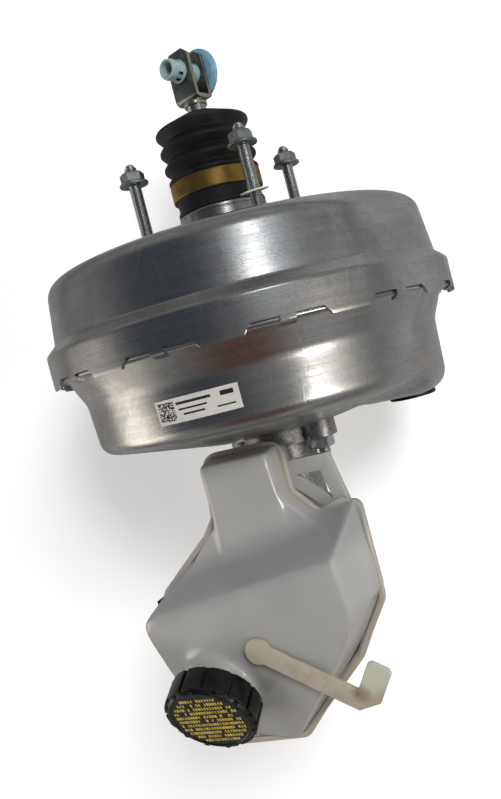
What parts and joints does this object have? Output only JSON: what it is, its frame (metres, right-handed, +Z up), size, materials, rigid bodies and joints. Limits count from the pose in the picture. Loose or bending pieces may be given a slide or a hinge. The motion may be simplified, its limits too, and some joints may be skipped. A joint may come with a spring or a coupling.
{
  "type": "brake booster",
  "caption": "Round vacuum brake booster with a ribbed boot, clevis and mounting studs behind, and a master cylinder with its fluid tank in front.",
  "frame": {"origin": "centre of the rear mounting face, where the drum meets the bulkhead", "axes": "+Y along the booster's axis, out towards the clevis and the pedal; +Z up, to the filler cap's side; +X right as seen from the pedal"},
  "size_m": [0.258, 0.4348, 0.258],
  "materials": {
    "shell_metal": "bare pressed metal, brushed round",
    "zinc": "zinc plated",
    "steel": "bright turned steel",
    "passivated": "dark plated sheet",
    "cast": "rough cast",
    "piston_alloy": "anodised",
    "band_gold": "yellow plated band",
    "black_rubber": "dusty moulded rubber",
    "seal_rubber": "moulded rubber",
    "tan_plastic": "moulded",
    "white_plastic": "thin white disc",
    "blue_plastic": "clear blue",
    "tank_plastic": "milky, slightly see-through",
    "clip_plastic": "dirty beige",
    "cap_black": "moulded grip panels",
    "filter_foam": "open foam",
    "felt": "pressed felt",
    "float_foam": "foamed",
    "label_film": "matt film"
  },
  "bodies": {
    "housing": {"rear_shell": "shell_metal", "front_shell": "shell_metal", "rear_plate": "passivated", "bulkhead_studs": "zinc", "flange_nuts": "zinc", "stud_washer": "white_plastic", "neck_seal": "seal_rubber", "seal_retainer": "tan_plastic", "diaphragm": "seal_rubber", "return_spring": "steel", "boot": "black_rubber", "boot_band": "band_gold", "front_plate": "passivated", "cylinder_studs": "zinc", "cylinder_nuts": "zinc", "cylinder_body": "cast", "cylinder_o_ring": "seal_rubber", "guide_ring": "seal_rubber", "primary_spring": "steel", "secondary_spring": "steel", "stop_pin": "steel", "vacuum_grommet": "black_rubber", "data_label": "label_film", "reservoir_bottom": "tank_plastic", "reservoir_top": "tank_plastic", "reservoir_grommets": "seal_rubber", "reservoir_pin": "steel", "strainer": "white_plastic", "level_sensor": "cap_black", "wiring_clip": "clip_plastic"},
    "power_piston": {"diaphragm_plate": "passivated", "valve_body": "tan_plastic", "reaction_disc": "seal_rubber", "output_rod": "steel", "valve_key": "zinc", "poppet_valve": "seal_rubber", "poppet_retainer": "tan_plastic", "poppet_spring": "steel", "rod_spring": "steel", "air_filter": "filter_foam", "silencer_felt": "felt"},
    "valve_plunger": {"valve_plunger": "steel"},
    "input_rod": {"input_rod": "steel", "clevis": "passivated"},
    "clevis_pin": {"clevis_pin": "blue_plastic"},
    "primary_piston": {"primary_piston": "piston_alloy", "primary_seals": "seal_rubber"},
    "secondary_piston": {"secondary_piston": "piston_alloy", "secondary_seals": "seal_rubber"},
    "filler_seal": {"cap_seal": "seal_rubber"},
    "filler_cap": {"cap": "cap_black"},
    "float": {"float": "float_foam"}
  },
  "joints": [
    {"name": "booster_stroke", "type": "slide", "parent": "housing", "child": "power_piston", "axis": [0, -1, 0], "range_m": [0, 0.0326], "stiffness_N_per_m": 2500, "deforming": ["diaphragm", "return_spring"]},
    {"name": "pedal_push", "type": "slide", "parent": "housing", "child": "valve_plunger", "axis": [0, -1, 0], "range_m": [0, 0.034], "deforming": ["boot", "rod_spring", "poppet_spring"]},
    {"name": "rod_swing", "type": "hinge", "parent": "valve_plunger", "child": "input_rod", "pos_m": [0, 0.002, 0], "axis": [-0.3173, 0, 0.9483], "range_deg": [-3, 3], "stiffness_Nm_per_rad": 2},
    {"name": "pin_turn", "type": "hinge", "parent": "input_rod", "child": "clevis_pin", "pos_m": [0, 0.1148, 0], "axis": [-0.3173, 0, 0.9483], "continuous": true},
    {"name": "primary_piston_slide", "type": "slide", "parent": "housing", "child": "primary_piston", "axis": [0, -1, 0], "range_m": [0, 0.033], "deforming": ["primary_spring"]},
    {"name": "secondary_piston_slide", "type": "slide", "parent": "housing", "child": "secondary_piston", "axis": [0, -1, 0], "range_m": [0, 0.0165], "deforming": ["secondary_spring"]},
    {"name": "cap_lift", "type": "slide", "parent": "housing", "child": "filler_seal", "axis": [0, -0.454, 0.891], "range_m": [0, 0.006]},
    {"name": "cap_turn", "type": "hinge", "parent": "filler_seal", "child": "filler_cap", "pos_m": [-0.0446, -0.2549, 0.0851], "axis": [0, -0.454, 0.891], "range_deg": [0, 541]},
    {"name": "float_rise", "type": "slide", "parent": "housing", "child": "float", "axis": [0, 0, 1], "range_m": [0, 0.018]}
  ],
  "couplings": [
    {"joint": "pedal_push", "follows": "booster_stroke", "ratio": 1.0417},
    {"joint": "primary_piston_slide", "follows": "booster_stroke", "ratio": 1},
    {"joint": "secondary_piston_slide", "follows": "booster_stroke", "ratio": 0.5},
    {"joint": "cap_turn", "follows": "cap_lift", "rad_per_m": 1570.8}
  ]
}
